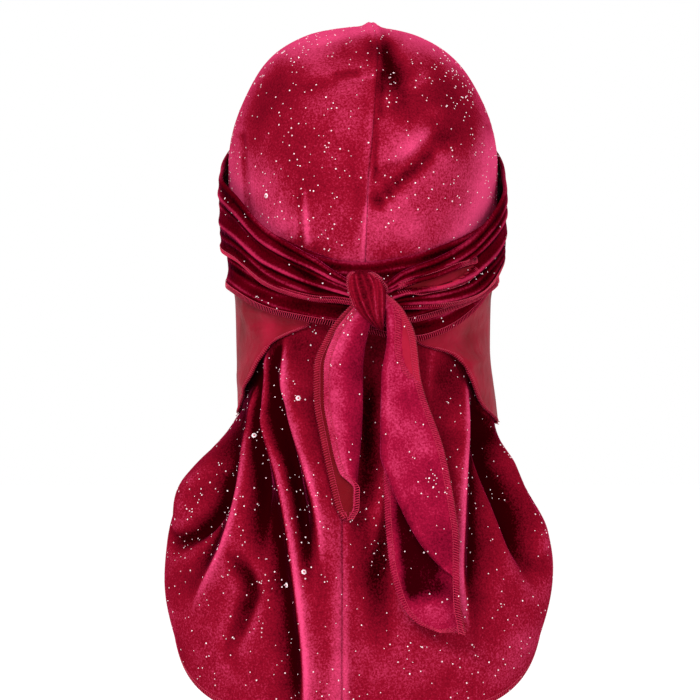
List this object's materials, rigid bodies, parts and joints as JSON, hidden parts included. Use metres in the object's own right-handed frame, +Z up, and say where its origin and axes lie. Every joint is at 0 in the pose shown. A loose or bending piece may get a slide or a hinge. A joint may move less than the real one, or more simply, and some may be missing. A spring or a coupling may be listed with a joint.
{
  "type": "durag",
  "caption": "A crimson velvet durag with glitter, in its worn form: seamed crown, straps wound round it and knotted behind, hanging tails and a pleated cape.",
  "frame": {"origin": "The inside of the crown's top, where the top of the head sits; the durag hangs below it", "axes": "+Z up, +Y to the wearer's front, +X to the wearer's right; millimetres in the source, metres here"},
  "size_m": [0.2278, 0.2225, 0.3981],
  "materials": {
    "glitter_velvet": "Crimson stretch velvet with a fine pile and scattered glitter dots, plain satin-like knit on its reverse",
    "strap_velvet": "The same crimson velvet in long gathered straps with overlocked hems"
  },
  "bodies": {
    "root": {"left_panel": "glitter_velvet", "right_panel": "glitter_velvet", "left_strap": "strap_velvet", "right_strap": "strap_velvet", "knot": "strap_velvet", "left_tail": "strap_velvet", "right_tail": "strap_velvet"}
  },
  "joints": []
}
